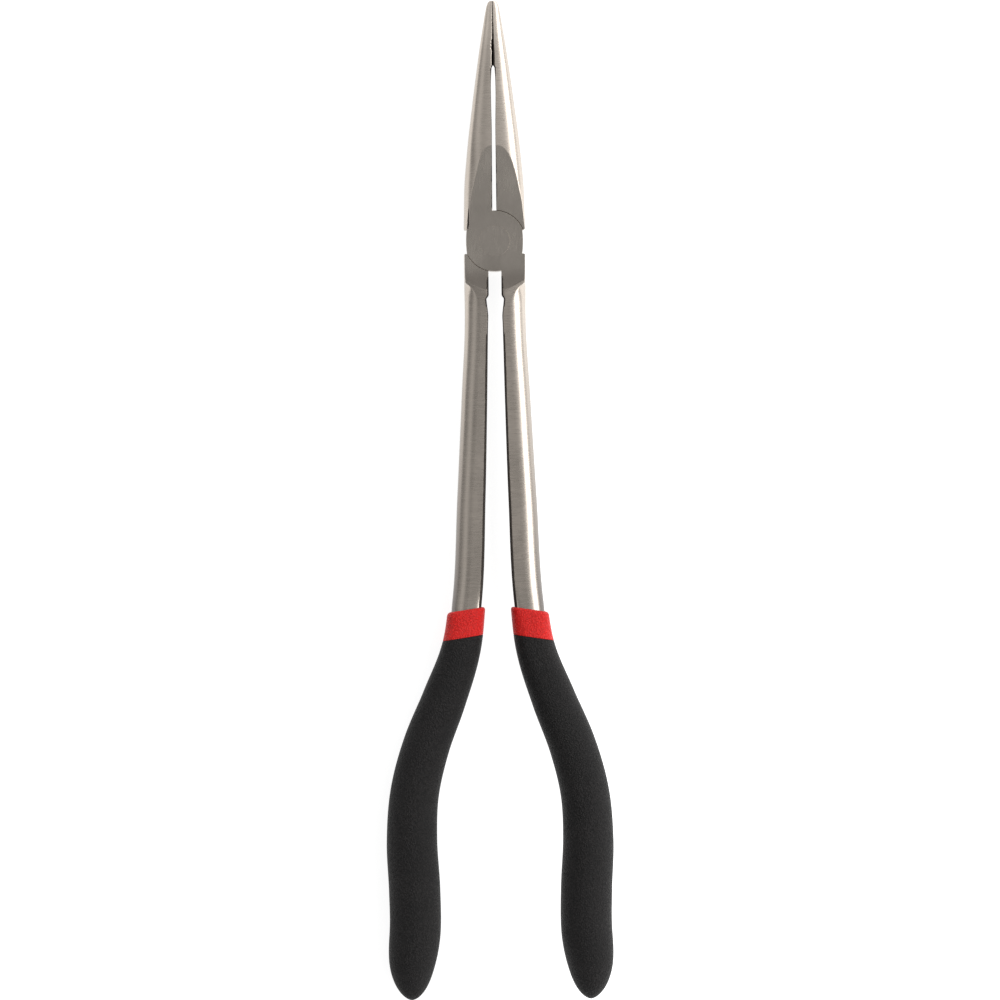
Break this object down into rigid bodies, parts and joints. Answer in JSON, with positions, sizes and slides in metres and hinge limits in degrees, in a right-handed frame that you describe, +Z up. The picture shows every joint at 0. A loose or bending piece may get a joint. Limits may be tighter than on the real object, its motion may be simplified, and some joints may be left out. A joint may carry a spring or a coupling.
{
  "type": "needle nose pliers",
  "caption": "Long-reach needle-nose pliers: riveted lap joint, slender tapering serrated jaws and long bowed handles with two-colour moulded grips.",
  "frame": {"origin": "where the pivot's axis meets the joint's lower ground face", "axes": "+Y from the pivot to the jaw tips, +X towards the right-hand handle with the jaws pointing up the page, +Z up through the joint's thickness"},
  "size_m": [0.0636, 0.28, 0.0119],
  "materials": {
    "forged_steel": "ground joint faces, linished jaws and handle bars",
    "rivet_steel": "ground flush with the joint",
    "red_grip": "matt, finely pebbled",
    "black_grip": "matt, finely pebbled"
  },
  "bodies": {
    "right_side": {"right_half": "forged_steel", "pivot_rivet": "rivet_steel", "right_grip_liner": "red_grip", "right_grip_sleeve": "black_grip"},
    "left_side": {"left_half": "forged_steel", "left_grip_liner": "red_grip", "left_grip_sleeve": "black_grip"}
  },
  "joints": [
    {"name": "jaw_pivot", "type": "hinge", "parent": "right_side", "child": "left_side", "pos_m": [0, 0, 0.00475], "axis": [0, 0, -1], "range_deg": [0, 40]}
  ]
}
